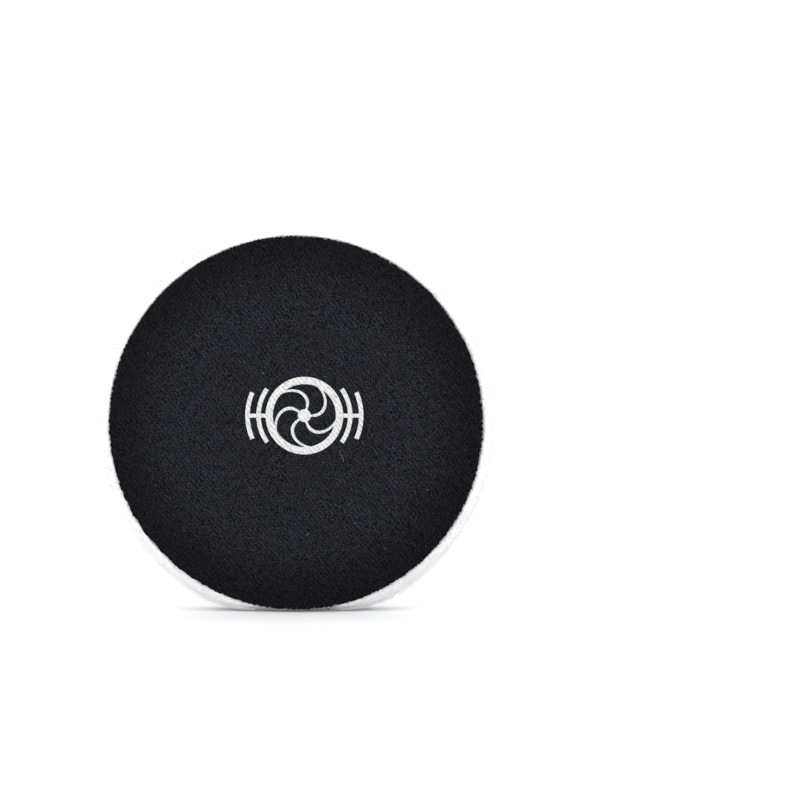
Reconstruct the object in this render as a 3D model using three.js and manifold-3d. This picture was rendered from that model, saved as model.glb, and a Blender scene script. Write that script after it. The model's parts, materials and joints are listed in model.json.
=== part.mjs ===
// A round wool polishing pad for a 150 mm hook-and-loop backing plate, standing on its rim.
// Millimetres, +Z up. The origin is on the floor under the middle of the pad. The pad's axis runs
// along Y: the black loop side faces -Y and the wool side faces +Y.

import * as THREE from "three";
import { mergeVertices } from "three/addons/utils/BufferGeometryUtils.js";
import Module from "manifold-3d";

const wasm = await Module();
wasm.setup();

// Driving dimensions.
const BACKING_RADIUS = 75; // die-cut edge of the loop fabric, foam and base cloth
const PILE_RADIUS = 82.5; // wool combed out round the rim
const TOTAL_THICKNESS = 24.6; // loop face to wool face
const AXIS_HEIGHT = 76.2; // above the floor, with the pile pressed flat underneath

// The layers, from the front backwards, as thicknesses on the flat middle of the pad.
const INK_DEPTH = 0.2; // the ink binds the loops down, so it lies flush in the fabric's face
const LOOP_THICKNESS = 1.2;
const FILM_THICKNESS = 0.3;
const FOAM_THICKNESS = 6;
const CLOTH_THICKNESS = 1.2;

// The faces are flat out to this radius, then roll back towards the wool on an arc.
const FLAT_RADIUS = 50;
const FRONT_ROLL = 4; // how far the loop side has dropped back at its edge
const CLOTH_ROLL = 2; // the same for the base cloth, where the foam is pinched thinner
const ROLL_STEPS = 4;

// The pile: a lip that wraps forwards round the foam's edge, and a softly rounded outer edge.
const EDGE_CLEARANCE = 0.3; // between the pile and the cut edges inside it
const LIP_FRONT_Y = -6.4; // where the lip's fibres end
const WIDEST_Y = 1; // where the pile is widest
const WOOL_FACE_RADIUS = 66; // flat working face, before it rounds over
const OUTLINE_STEPS = 5;
const LATHE_SEGMENTS = 48;

// The printed mark: a plain pad-in-motion sign, with its own middle off the pad's middle.
const MARK_X = 3.6;
const MARK_Z = 3.3;
const RING_OUTER = 15.5;
const RING_INNER = 12.6;
const HUB_RADIUS = 2.6;
const BLADE_COUNT = 5;
const BLADE_WIDTH = 2.4;
const BLADE_SWEEP = Math.PI / 3; // how far a blade turns on its way from the hub to the ring
const MOTION_ARC_RADII = [19.2, 23.6]; // outer radii of the two arcs on each side of the ring
const MOTION_ARC_WIDTH = 1.8;
const MOTION_ARC_HALF_ANGLES = [0.62, 0.42];
const TIE_HEIGHT = 1.6; // the bar that ties the arcs to the ring
const JOIN_OVERLAP = 0.3; // how far joined shapes of the mark run into each other
const MARK_CURVE_STEPS = 10;

const LOOP_FRONT_Y = -TOTAL_THICKNESS / 2;
const LOOP_BACK_Y = LOOP_FRONT_Y + LOOP_THICKNESS;
const FOAM_FRONT_Y = LOOP_BACK_Y + FILM_THICKNESS;
const FOAM_BACK_Y = FOAM_FRONT_Y + FOAM_THICKNESS;
const CLOTH_FRONT_Y = FOAM_BACK_Y + FILM_THICKNESS;
const CLOTH_BACK_Y = CLOTH_FRONT_Y + CLOTH_THICKNESS;
const WOOL_FACE_Y = TOTAL_THICKNESS / 2;

const loopFabric = new THREE.MeshStandardMaterial({ color: 0x1c1d24, roughness: 0.95, metalness: 0 });
const whiteInk = new THREE.MeshStandardMaterial({ color: 0xf2f2f0, roughness: 0.6, metalness: 0 });
const bondFilm = new THREE.MeshStandardMaterial({ color: 0xcfc8b4, roughness: 0.4, metalness: 0 });
const whiteFoam = new THREE.MeshStandardMaterial({ color: 0xe6e4dc, roughness: 0.9, metalness: 0 });
const baseCloth = new THREE.MeshStandardMaterial({ color: 0xdad6cc, roughness: 0.9, metalness: 0 });
const wool = new THREE.MeshStandardMaterial({ color: 0xece9e6, roughness: 1, metalness: 0 });

// A face seen in section: from the axis, flat, then rolled back by `roll` on an arc, to the cut edge.
// A point's x is its radius and its y is its place along the pad's axis.
function faceOutline(y, roll) {
  const width = BACKING_RADIUS - FLAT_RADIUS;
  const arcRadius = (width * width + roll * roll) / (2 * roll);
  const arcAngle = 2 * Math.atan(roll / width);
  const points = [new THREE.Vector2(0, y)];
  for (let step = 0; step <= ROLL_STEPS; step++) {
    const angle = (arcAngle * step) / ROLL_STEPS;
    const radius = FLAT_RADIUS + arcRadius * Math.sin(angle);
    points.push(new THREE.Vector2(radius, y + arcRadius * (1 - Math.cos(angle))));
  }
  points[points.length - 1].x = BACKING_RADIUS;
  return points;
}

// One layer of the laminate, between two faces that roll back by their own amounts.
function layer(frontY, frontRoll, backY, backRoll) {
  const front = faceOutline(frontY, frontRoll);
  const back = faceOutline(backY, backRoll).reverse();
  return new THREE.LatheGeometry([...front, ...back], LATHE_SEGMENTS);
}

// The pile before the floor presses it: it starts on the base cloth's back, wraps the cut edges
// with its lip, bulges to its full radius and rounds over to the flat working face.
function roundPile() {
  const innerRadius = BACKING_RADIUS + EDGE_CLEARANCE;
  const outline = new THREE.Path();
  const lipDepth = WIDEST_Y - LIP_FRONT_Y;
  const faceDepth = WOOL_FACE_Y - WIDEST_Y;
  outline.absellipse(
    innerRadius, WIDEST_Y, PILE_RADIUS - innerRadius, lipDepth, -Math.PI / 2, 0, false);
  outline.absellipse(
    WOOL_FACE_RADIUS, WIDEST_Y, PILE_RADIUS - WOOL_FACE_RADIUS, faceDepth, 0, Math.PI / 2, false);
  const start = faceOutline(CLOTH_BACK_Y, CLOTH_ROLL);
  const corner = new THREE.Vector2(innerRadius, start[start.length - 1].y);
  const points = [...start, corner, ...outline.getPoints(OUTLINE_STEPS)];
  points.push(new THREE.Vector2(0, WOOL_FACE_Y));
  return new THREE.LatheGeometry(points, LATHE_SEGMENTS);
}

// A closed three.js geometry as a manifold-3d solid, and back.
function toSolid(geometry) {
  const bare = geometry.clone();
  bare.deleteAttribute("normal");
  bare.deleteAttribute("uv");
  const merged = mergeVertices(bare, 1e-4);
  return new wasm.Manifold(new wasm.Mesh({
    numProp: 3,
    vertProperties: merged.attributes.position.array,
    triVerts: new Uint32Array(merged.index.array),
  }));
}

function toGeometry(solid) {
  const mesh = solid.getMesh();
  return new THREE.BufferGeometry()
    .setAttribute("position", new THREE.BufferAttribute(new Float32Array(mesh.vertProperties), 3))
    .setIndex(new THREE.BufferAttribute(new Uint32Array(mesh.triVerts), 1));
}

// Cuts away what the floor pushes flat, so that the pad stands on a real flat foot.
function pressedByFloor(geometry) {
  const size = 4 * PILE_RADIUS;
  const below = new THREE.BoxGeometry(size, size, size);
  below.translate(0, 0, -AXIS_HEIGHT - size / 2);
  return toGeometry(toSolid(geometry).subtract(toSolid(below)));
}

// The mark's flat shapes, drawn in X and Z about the mark's own middle.
function ringSector(outer, inner, from, to) {
  const shape = new THREE.Shape();
  shape.absarc(0, 0, outer, from, to, false);
  shape.absarc(0, 0, inner, to, from, true);
  return shape;
}

function ring(outer, inner) {
  const shape = new THREE.Shape().absarc(0, 0, outer, 0, 2 * Math.PI, false);
  shape.holes.push(new THREE.Path().absarc(0, 0, inner, 0, 2 * Math.PI, true));
  return shape;
}

function bar(fromX, toX, height) {
  const shape = new THREE.Shape();
  shape.moveTo(fromX, -height / 2);
  shape.lineTo(toX, -height / 2);
  shape.lineTo(toX, height / 2);
  shape.lineTo(fromX, height / 2);
  shape.closePath();
  return shape;
}

// A blade that starts in the hub and curls round to the ring, narrow at the hub.
function blade(startAngle) {
  const inner = HUB_RADIUS - JOIN_OVERLAP;
  const outer = RING_INNER + JOIN_OVERLAP;
  const edge = (side) => Array.from({ length: MARK_CURVE_STEPS + 1 }, (_, step) => {
    const share = step / MARK_CURVE_STEPS;
    const radius = inner + (outer - inner) * share;
    const halfWidth = (BLADE_WIDTH / 2) * (0.35 + 0.65 * share);
    const angle = startAngle + BLADE_SWEEP * share * share + (side * halfWidth) / radius;
    return new THREE.Vector2(radius * Math.cos(angle), radius * Math.sin(angle));
  });
  return new THREE.Shape([...edge(-1), ...edge(1).reverse()]);
}

function markShapes() {
  const hub = new THREE.Shape().absarc(0, 0, HUB_RADIUS, 0, 2 * Math.PI, false);
  const shapes = [ring(RING_OUTER, RING_INNER), hub];
  for (let i = 0; i < BLADE_COUNT; i++) shapes.push(blade((2 * Math.PI * i) / BLADE_COUNT));
  for (const middle of [0, Math.PI]) {
    MOTION_ARC_RADII.forEach((outer, i) => {
      const half = MOTION_ARC_HALF_ANGLES[i];
      shapes.push(ringSector(outer, outer - MOTION_ARC_WIDTH, middle - half, middle + half));
    });
  }
  const tieFrom = RING_OUTER - JOIN_OVERLAP;
  const tieTo = MOTION_ARC_RADII.at(-1) - JOIN_OVERLAP;
  shapes.push(bar(tieFrom, tieTo, TIE_HEIGHT), bar(-tieTo, -tieFrom, TIE_HEIGHT));
  return shapes;
}

function printedMark() {
  const options = { depth: INK_DEPTH, bevelEnabled: false, curveSegments: MARK_CURVE_STEPS };
  const solids = markShapes().map((shape) => toSolid(new THREE.ExtrudeGeometry(shape, options)));
  const joined = solids.reduce((sum, solid) => sum.add(solid));
  const geometry = toGeometry(joined);
  geometry.rotateX(Math.PI / 2); // drawn in X and Z, with its thickness towards -Y
  geometry.translate(MARK_X, LOOP_FRONT_Y + INK_DEPTH, MARK_Z);
  return geometry;
}

// The loop fabric, with the hollow that the ink fills.
function loopFabricDisc(mark) {
  const disc = layer(LOOP_FRONT_Y, FRONT_ROLL, LOOP_BACK_Y, FRONT_ROLL);
  return toGeometry(toSolid(disc).subtract(toSolid(mark)));
}

function part(name, geometry, material) {
  const mesh = new THREE.Mesh(geometry, material);
  mesh.name = name;
  return mesh;
}

const mark = printedMark();
const pad = new THREE.Group();
pad.position.z = AXIS_HEIGHT;
pad.add(
  part("printed_mark", mark, whiteInk),
  part("loop_fabric", loopFabricDisc(mark), loopFabric),
  part("loop_bond_film", layer(LOOP_BACK_Y, FRONT_ROLL, FOAM_FRONT_Y, FRONT_ROLL), bondFilm),
  part("foam_core", layer(FOAM_FRONT_Y, FRONT_ROLL, FOAM_BACK_Y, CLOTH_ROLL), whiteFoam),
  part("wool_bond_film", layer(FOAM_BACK_Y, CLOTH_ROLL, CLOTH_FRONT_Y, CLOTH_ROLL), bondFilm),
  part("wool_base_cloth", layer(CLOTH_FRONT_Y, CLOTH_ROLL, CLOTH_BACK_Y, CLOTH_ROLL), baseCloth),
  part("wool_pile", pressedByFloor(roundPile()), wool),
);

const group = new THREE.Group();
group.add(pad);

export default group;
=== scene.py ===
"""Looks of a round wool polishing pad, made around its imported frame.

The pad stands on its rim. Its axis runs along Y: the black loop cloth faces -Y and the wool faces
+Y. Everything is in metres, in the frame's own axes.
"""

from __future__ import annotations

import json
import logging
import math
from collections.abc import Callable, Iterator, Mapping
from contextlib import contextmanager
from dataclasses import dataclass, field
from enum import Enum, IntEnum
from typing import Any

import bpy
import numpy as np
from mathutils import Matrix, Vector
from mathutils.kdtree import KDTree

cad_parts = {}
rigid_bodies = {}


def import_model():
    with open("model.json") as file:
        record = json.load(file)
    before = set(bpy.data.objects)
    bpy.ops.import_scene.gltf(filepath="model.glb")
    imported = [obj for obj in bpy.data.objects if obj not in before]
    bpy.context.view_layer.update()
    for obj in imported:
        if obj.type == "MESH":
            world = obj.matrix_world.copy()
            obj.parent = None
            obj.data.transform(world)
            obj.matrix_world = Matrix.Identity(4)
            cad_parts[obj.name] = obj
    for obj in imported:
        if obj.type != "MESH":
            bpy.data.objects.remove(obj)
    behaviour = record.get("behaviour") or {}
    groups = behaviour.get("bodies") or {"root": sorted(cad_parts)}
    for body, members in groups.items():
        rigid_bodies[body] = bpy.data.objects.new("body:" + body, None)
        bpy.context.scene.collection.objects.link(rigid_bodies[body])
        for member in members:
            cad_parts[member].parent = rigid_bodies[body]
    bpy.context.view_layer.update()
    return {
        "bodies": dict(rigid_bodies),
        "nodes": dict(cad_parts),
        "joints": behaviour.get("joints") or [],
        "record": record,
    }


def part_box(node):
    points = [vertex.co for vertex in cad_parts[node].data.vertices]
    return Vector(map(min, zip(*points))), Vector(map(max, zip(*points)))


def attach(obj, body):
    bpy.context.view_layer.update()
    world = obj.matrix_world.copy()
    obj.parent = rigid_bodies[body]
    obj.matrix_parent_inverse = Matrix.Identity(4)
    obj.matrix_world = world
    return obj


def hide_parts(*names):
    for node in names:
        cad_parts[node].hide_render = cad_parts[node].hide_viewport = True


LOG = logging.getLogger("wool_pad")
MM = 0.001
BODY = "root"
BAKE_MAP = "OFBake"  # the map by which the fibres' colours are read

Colour = tuple[float, float, float]
Points = np.ndarray
Weights = Callable[[Points, Points], np.ndarray]  # of faces, from their middles and normals


class Seed(IntEnum):
    """Where the chance of each batch of fibres starts."""

    LOOPS = 31
    FRAYS = 37
    LINT = 41
    TUFTS = 71
    HAIRS = 73
    FLOOR_HAIRS = 75
    FACE_WISPS = 81
    RIM_WISPS = 83


# ----------------------------------------------------------------- small tools


def deselect_all() -> None:
    """Leaves nothing selected and no object in edit mode."""
    if bpy.context.mode != "OBJECT":
        bpy.ops.object.mode_set(mode="OBJECT")
    bpy.ops.object.select_all(action="DESELECT")


def activate(obj: bpy.types.Object) -> None:
    """Makes obj the only selected object, and the active one.

    Args:
        obj: the mesh's object.
    """
    deselect_all()
    obj.select_set(True)
    bpy.context.view_layer.objects.active = obj


def named(name: str) -> bpy.types.Object:
    """Gives the object that an operator has just made its name.

    Args:
        name: the piece's name, which its mesh takes too.

    Returns:
        The active object.
    """
    obj = bpy.context.active_object
    obj.name = name
    obj.data.name = name
    return obj


@contextmanager
def editing(obj: bpy.types.Object) -> Iterator[None]:
    """Edit mode on obj, with its whole mesh selected at the start.

    Args:
        obj: the mesh's object.

    Returns:
        The context in which the mesh is edited.
    """
    activate(obj)
    bpy.ops.object.mode_set(mode="EDIT")
    bpy.ops.mesh.select_all(action="SELECT")
    yield
    bpy.ops.object.mode_set(mode="OBJECT")


def read(items: Any, key: str, kind: type, width: int = 1) -> np.ndarray:
    """Reads one value of every item of a mesh's collection.

    Args:
        items: its vertices, edges, faces, triangles or corners.
        key: the value's name.
        kind: the type that it is held in.
        width: how many numbers it has.

    Returns:
        A row for each item, or a flat array where the width is 1.
    """
    found = np.empty(len(items) * width, kind)
    items.foreach_get(key, found)
    return found.reshape(-1, width) if width > 1 else found


def read_points(items: Any, key: str) -> Points:
    """Reads a point or a direction of every item."""
    return read(items, key, np.float32, 3).astype(float)


def points_of(obj: bpy.types.Object) -> Points:
    """The vertices of obj's mesh as an array of points."""
    return read_points(obj.data.vertices, "co")


def move_points(obj: bpy.types.Object, points: Points) -> None:
    """Puts the vertices of obj's mesh at these points."""
    obj.data.vertices.foreach_set("co", points.astype(np.float32).ravel())
    obj.data.update()


def apply_modifier(obj: bpy.types.Object, kind: str, **settings: Any) -> None:
    """Adds a modifier with these settings to obj and applies it.

    Args:
        obj: the mesh's object.
        kind: the modifier's type.
        settings: its settings.
    """
    activate(obj)
    modifier = obj.modifiers.new(kind.title(), kind)
    for key, value in settings.items():
        setattr(modifier, key, value)
    bpy.ops.object.modifier_apply(modifier=modifier.name)


def shade_smooth(obj: bpy.types.Object) -> None:
    """Shades every face of obj smooth."""
    obj.data.polygons.foreach_set("use_smooth", [True] * len(obj.data.polygons))
    obj.data.update()


def placed(name: str, data: Any) -> bpy.types.Object:
    """A new object of this name in the scene, which shows this data.

    Args:
        name: the object's name.
        data: its mesh, light or camera.

    Returns:
        The object.
    """
    obj = bpy.data.objects.new(name, data)
    bpy.context.scene.collection.objects.link(obj)
    return obj


def map_corners(mesh: bpy.types.Mesh, uv: Points) -> None:
    """Gives a mesh the map by which its colours are read, a row for each corner."""
    layer = mesh.uv_layers.new(name=BAKE_MAP)
    layer.uv.foreach_set("vector", uv.astype(np.float32).ravel())


def store(obj: bpy.types.Object, name: str, values: np.ndarray) -> None:
    """Stores a number for each vertex of obj, where its finish reads it."""
    stored = obj.data.attributes.new(name, "FLOAT", "POINT")
    stored.data.foreach_set("value", values.astype(np.float32))


def many_copies(name: str, points: Points, faces: np.ndarray, uv: Points) -> bpy.types.Object:
    """Makes one mesh from many small shapes of triangles, with a map for its colours.

    Args:
        name: the piece's name.
        points: the vertices, one row each.
        faces: three vertex numbers for each triangle.
        uv: each vertex's place on the map.

    Returns:
        The new object, shaded smooth and linked to the scene.
    """
    mesh = bpy.data.meshes.new(name)
    corners = faces.ravel().astype(np.int32)
    mesh.vertices.add(len(points))
    mesh.vertices.foreach_set("co", points.astype(np.float32).ravel())
    mesh.loops.add(len(corners))
    mesh.loops.foreach_set("vertex_index", corners)
    mesh.polygons.add(len(faces))
    mesh.polygons.foreach_set("loop_start", np.arange(0, len(corners), 3, dtype=np.int32))
    mesh.update(calc_edges=True)
    map_corners(mesh, uv[corners])
    obj = placed(name, mesh)
    shade_smooth(obj)
    return obj


def unit(vectors: Points) -> Points:
    """Each row at a length of one."""
    return vectors / np.maximum(np.linalg.norm(vectors, axis=1, keepdims=True), 1e-12)


def along_surface(vectors: Points, normal: Points) -> Points:
    """The part of each vector that is square to its normal."""
    return vectors - (vectors * normal).sum(1, keepdims=True) * normal


def eased(values: np.ndarray, low: float, high: float) -> np.ndarray:
    """0 below low, 1 above high, and a smooth step between them."""
    share = np.clip((values - low) / (high - low), 0, 1)
    return share * share * (3 - 2 * share)


class Ripple:
    """Smooth seeded noise: a sum of waves of about one length, in all directions."""

    def __init__(self, wavelength: float, seed: int, waves: int = 28) -> None:
        """Draws the waves.

        Args:
            wavelength: about how long they are.
            seed: the seed of their chance.
            waves: how many there are.
        """
        rng = np.random.default_rng(seed)
        directions = unit(rng.normal(size=(waves, 3)))
        lengths = wavelength * rng.uniform(0.75, 1.35, waves)
        self._waves = directions * (2 * math.pi / lengths)[:, None]
        self._phases = rng.uniform(0, 2 * math.pi, waves)

    def __call__(self, points: Points) -> np.ndarray:
        """The noise at each point, mostly from -1 to 1."""
        waves = np.sin(points @ self._waves.T + self._phases)
        return waves.sum(1) / math.sqrt(len(self._phases))


# ------------------------------------------------------------- shader material


@dataclass(frozen=True)
class Wire:
    """A shader socket that works in Python arithmetic: each operator adds a Math node."""

    paint: Paint
    socket: bpy.types.NodeSocket

    def _maths(self, operation: str, *values: Any) -> Wire:
        """A Math node of this operation on the values."""
        return self.paint.node("ShaderNodeMath", {"operation": operation}, dict(enumerate(values)))

    def __add__(self, other: Any) -> Wire:
        """Adds a number or another wire."""
        return self._maths("ADD", self, other)

    __radd__ = __add__

    def __sub__(self, other: Any) -> Wire:
        """Takes a number or another wire away."""
        return self._maths("SUBTRACT", self, other)

    def __rsub__(self, other: Any) -> Wire:
        """Takes this wire away from a number."""
        return self._maths("SUBTRACT", other, self)

    def __mul__(self, other: Any) -> Wire:
        """Multiplies by a number or another wire."""
        return self._maths("MULTIPLY", self, other)

    __rmul__ = __mul__

    def output(self, name: str) -> Wire:
        """Another output of the same node."""
        return Wire(self.paint, self.socket.node.outputs[name])

    def stepped(self, low: float, high: float) -> Wire:
        """0 below low, 1 above high, and a smooth step between them.

        Args:
            low: where it starts to rise.
            high: where it has risen.

        Returns:
            The step as a wire.
        """
        settings = {"interpolation_type": "SMOOTHSTEP"}
        inputs = {"Value": self, "From Min": low, "From Max": high}
        return self.paint.node("ShaderNodeMapRange", settings, inputs)


class Paint:
    """A material with one Principled shader, and the methods that wire nodes into it."""

    def __init__(self, name: str) -> None:
        """Starts a material of this name.

        Args:
            name: the material's name.
        """
        self.material = bpy.data.materials.new(name)
        self.material.use_nodes = True
        self._tree = self.material.node_tree
        self._shader = self._tree.nodes["Principled BSDF"]

    def node(
        self, kind: str, settings: Mapping[str, Any] | None = None,
        inputs: Mapping[str | int, Any] | None = None,
    ) -> Wire:
        """Adds a node.

        Args:
            kind: the node's type.
            settings: its own settings.
            inputs: a value, a colour or a wire for each socket, by name or number.

        Returns:
            A wire from the node's first output that is in use.
        """
        made = self._tree.nodes.new(kind)
        for key, value in (settings or {}).items():
            setattr(made, key, value)
        for key, value in (inputs or {}).items():
            self.feed(made.inputs[key], value)
        return Wire(self, next(o for o in made.outputs if o.enabled))

    def feed(self, socket: bpy.types.NodeSocket, value: Any) -> None:
        """Links a wire to a socket, or sets the socket to a number or a colour.

        Args:
            socket: the socket.
            value: a wire, a number or a colour.
        """
        if isinstance(value, Wire):
            self._tree.links.new(value.socket, socket)
        elif socket.type == "RGBA":
            socket.default_value = (*value, 1.0)
        else:
            socket.default_value = value

    def place(self) -> Wire:
        """Object coordinates."""
        return self.node("ShaderNodeTexCoord").output("Object")

    def mapped(self, centre: Vector, turn: float = 0.0, stretch: Colour = (1, 1, 1)) -> Wire:
        """Object coordinates about a centre, turned about Y and then stretched.

        Args:
            centre: the point that becomes the pattern's origin.
            turn: the angle from X towards Z that becomes the pattern's X axis.
            stretch: how much each of the pattern's axes is scaled.

        Returns:
            The coordinates as a wire.
        """
        moved = self.node(
            "ShaderNodeVectorMath", {"operation": "SUBTRACT"}, {0: self.place(), 1: centre})
        turned = self.node(
            "ShaderNodeVectorRotate", {"rotation_type": "Y_AXIS"}, {"Vector": moved, "Angle": turn})
        return self.node(
            "ShaderNodeVectorMath", {"operation": "MULTIPLY"}, {0: turned, 1: stretch})

    def noise(self, vector: Wire, scale: float, detail: float = 2.0, rough: float = 0.5) -> Wire:
        """Smooth noise of about 0 to 1."""
        inputs = {"Vector": vector, "Scale": scale, "Detail": detail, "Roughness": rough}
        return self.node("ShaderNodeTexNoise", {}, inputs)

    def attribute(self, name: str) -> Wire:
        """A number that the mesh holds at each vertex."""
        return self.node("ShaderNodeAttribute", {"attribute_name": name}).output("Fac")

    def mix(self, share: Any, first: Any, second: Any) -> Wire:
        """A colour between first and second."""
        settings = {"data_type": "RGBA", "clamp_factor": True}
        return self.node("ShaderNodeMix", settings, {0: share, 6: first, 7: second})

    def scaled(self, colour: Wire, share: Wire) -> Wire:
        """A colour made lighter or darker by a share."""
        inputs = {"Vector": colour, "Scale": share}
        return self.node("ShaderNodeVectorMath", {"operation": "SCALE"}, inputs)

    def bump(self, height: Wire, depth: float, strength: float = 1.0) -> Wire:
        """A normal from a height of 0 to 1 that stands for this depth in metres."""
        inputs = {"Height": height, "Distance": depth, "Strength": strength}
        return self.node("ShaderNodeBump", {}, inputs)

    def surface(self, **inputs: Any) -> bpy.types.Material:
        """Feeds the shader, with underscores for the spaces in its sockets' names.

        Returns:
            The finished material.
        """
        for key, value in inputs.items():
            self.feed(self._shader.inputs[key.replace("_", " ")], value)
        return self.material


# ------------------------------------------------------------ sizes and shapes


@dataclass(frozen=True)
class PadSizes:
    """What the frame says about the pad, and the rolled shape of its faces."""

    axis_height: float
    backing_radius: float
    loop_front: float
    loop_back_rim: float
    pile_radius: float
    lip_front: float
    wool_face: float
    flat_share: float = 2 / 3  # of the backing's radius, before the faces roll back

    @classmethod
    def from_frame(cls) -> PadSizes:
        """Reads the sizes off the frame's loop fabric and pile.

        Returns:
            The sizes.
        """
        loop_low, loop_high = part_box("loop_fabric")
        pile_low, pile_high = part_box("wool_pile")
        return cls(
            axis_height=(loop_low.z + loop_high.z) / 2,
            backing_radius=(loop_high.x - loop_low.x) / 2,
            loop_front=loop_low.y,
            loop_back_rim=loop_high.y,
            pile_radius=(pile_high.x - pile_low.x) / 2,
            lip_front=pile_low.y,
            wool_face=pile_high.y,
        )

    @property
    def centre(self) -> Vector:
        """The point on the pad's axis at the origin of Y."""
        return Vector((0.0, 0.0, self.axis_height))

    @property
    def flat_radius(self) -> float:
        """Where the faces start to roll back."""
        return self.backing_radius * self.flat_share

    def radius_of(self, points: Points) -> np.ndarray:
        """Each point's distance from the pad's axis."""
        return np.hypot(points[:, 0], points[:, 2] - self.axis_height)

    def on_circle(self, radius: Any, angle: np.ndarray) -> Points:
        """Points at a radius and an angle from X towards Z, at the origin of Y."""
        x, z = radius * np.cos(angle), radius * np.sin(angle)
        return np.column_stack([x, np.zeros(len(x)), self.axis_height + z])

    def rolled(self, radius: np.ndarray, roll: float) -> np.ndarray:
        """How far a face has dropped back at each radius.

        Args:
            radius: distances from the axis.
            roll: the drop at the cut edge.

        Returns:
            The drops: none on the flat middle, then along an arc.
        """
        width = self.backing_radius - self.flat_radius
        arc = (width * width + roll * roll) / (2 * roll)
        beyond = np.clip(radius - self.flat_radius, 0, 0.99 * arc)
        return arc - np.sqrt(arc * arc - beyond * beyond)


@dataclass(frozen=True)
class Growth:
    """How one kind of wisp grows. Each pair holds its lowest and highest value."""

    lean: tuple[float, float]  # along the surface, against 1 straight out
    length: tuple[float, float]  # in millimetres, as the width is
    width: tuple[float, float]
    gather: float  # how far it bends towards its tuft's tip
    droop: float  # and back towards the underlayer
    splay: float  # how much it turns away from the pad's axis


class Grown(Enum):
    """Where a batch of wool grows, and how."""

    FACE = Growth((0.55, 1.35), (2.2, 3.8), (0.11, 0.22), gather=0.10, droop=0.5, splay=0.0)
    RIM = Growth((0.2, 0.8), (2.6, 4.3), (0.14, 0.28), gather=0.22, droop=0.2, splay=0.6)


@dataclass(frozen=True)
class Sign:
    """The printed sign: a ring with curved blades, and arcs on both sides that are tied to it.

    Its own lengths are shares of the ring's outer radius.
    """

    x: float
    z: float
    radius: float
    ring_inner: float = 0.813
    hub: float = 0.168
    blades: int = 5
    blade_width: float = 0.155
    blade_root: float = 0.35  # of a blade's width, where it leaves the hub
    blade_sweep: float = math.pi / 3
    arcs: tuple[tuple[float, float], ...] = ((1.239, 0.62), (1.523, 0.42))  # radius, half angle
    arc_width: float = 0.116
    tie_height: float = 0.103

    @classmethod
    def from_frame(cls) -> Sign:
        """Reads the sign's place and size off the frame's mark."""
        low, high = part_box("printed_mark")
        return cls(x=(low.x + high.x) / 2, z=(low.z + high.z) / 2, radius=(high.z - low.z) / 2)

    @property
    def reach(self) -> float:
        """How far the sign goes from its middle."""
        return self.radius * max(outer for outer, _ in self.arcs)

    def distance(self, points: Points) -> np.ndarray:
        """How far each point lies from the ink in X and Z, less than 0 inside it.

        Args:
            points: the points.

        Returns:
            The distances in metres.
        """
        x, z = (points[:, 0] - self.x) / self.radius, (points[:, 2] - self.z) / self.radius
        radius = np.hypot(x, z)
        wall = (1 - self.ring_inner) / 2
        shapes = [np.abs(radius - 1 + wall) - wall, radius - self.hub, self.blade_gap(x, z)]
        side = np.abs(np.arctan2(z, np.abs(x)))
        for outer, half_angle in self.arcs:
            band = np.abs(radius - outer + self.arc_width / 2) - self.arc_width / 2
            shapes.append(np.maximum(band, (side - half_angle) * radius))
        length = self.arcs[-1][0] - self.arc_width / 2
        tie = np.maximum(np.abs(z) - self.tie_height / 2, np.abs(x) - length)
        shapes.append(np.maximum(tie, 1 - wall - np.abs(x)))
        return np.minimum.reduce(shapes) * self.radius

    def blade_gap(self, x: np.ndarray, z: np.ndarray) -> np.ndarray:
        """How far points lie from the nearest blade, as shares of the ring's radius.

        Args:
            x: their X from the sign's middle, in the same shares.
            z: their Z.

        Returns:
            The distances.
        """
        radius = np.hypot(x, z)
        length = self.ring_inner - self.hub
        share = np.clip((radius - self.hub) / length, 0, 1)
        half = self.blade_width / 2 * (self.blade_root + (1 - self.blade_root) * share)
        pitch = 2 * math.pi / self.blades
        swept = np.arctan2(z, x) - self.blade_sweep * share**2
        off = np.abs((swept + pitch / 2) % pitch - pitch / 2)
        slant = np.hypot(1, 2 * self.blade_sweep * share * radius / length)
        return np.maximum((off * radius - half) / slant, radius - self.ring_inner)

    def snapped(self, points: Points, most: float) -> Points:
        """Moves points in X and Z onto the ink's outline.

        Args:
            points: points near the outline.
            most: the most that a point may move in one step.

        Returns:
            The moved points.
        """
        step = 0.005 * MM
        moved = points.copy()
        for _ in range(4):
            here = self.distance(moved)
            slope = np.column_stack([
                (self.distance(moved + step * axis) - here) / step
                for axis in (np.array([1.0, 0, 0]), np.array([0, 0, 1.0]))])
            size = np.maximum((slope**2).sum(1), 0.25)
            move = np.clip(here / size, -most, most)[:, None] * slope
            moved[:, [0, 2]] -= move
        return moved


# -------------------------------------------------------------------- finishes


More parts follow.
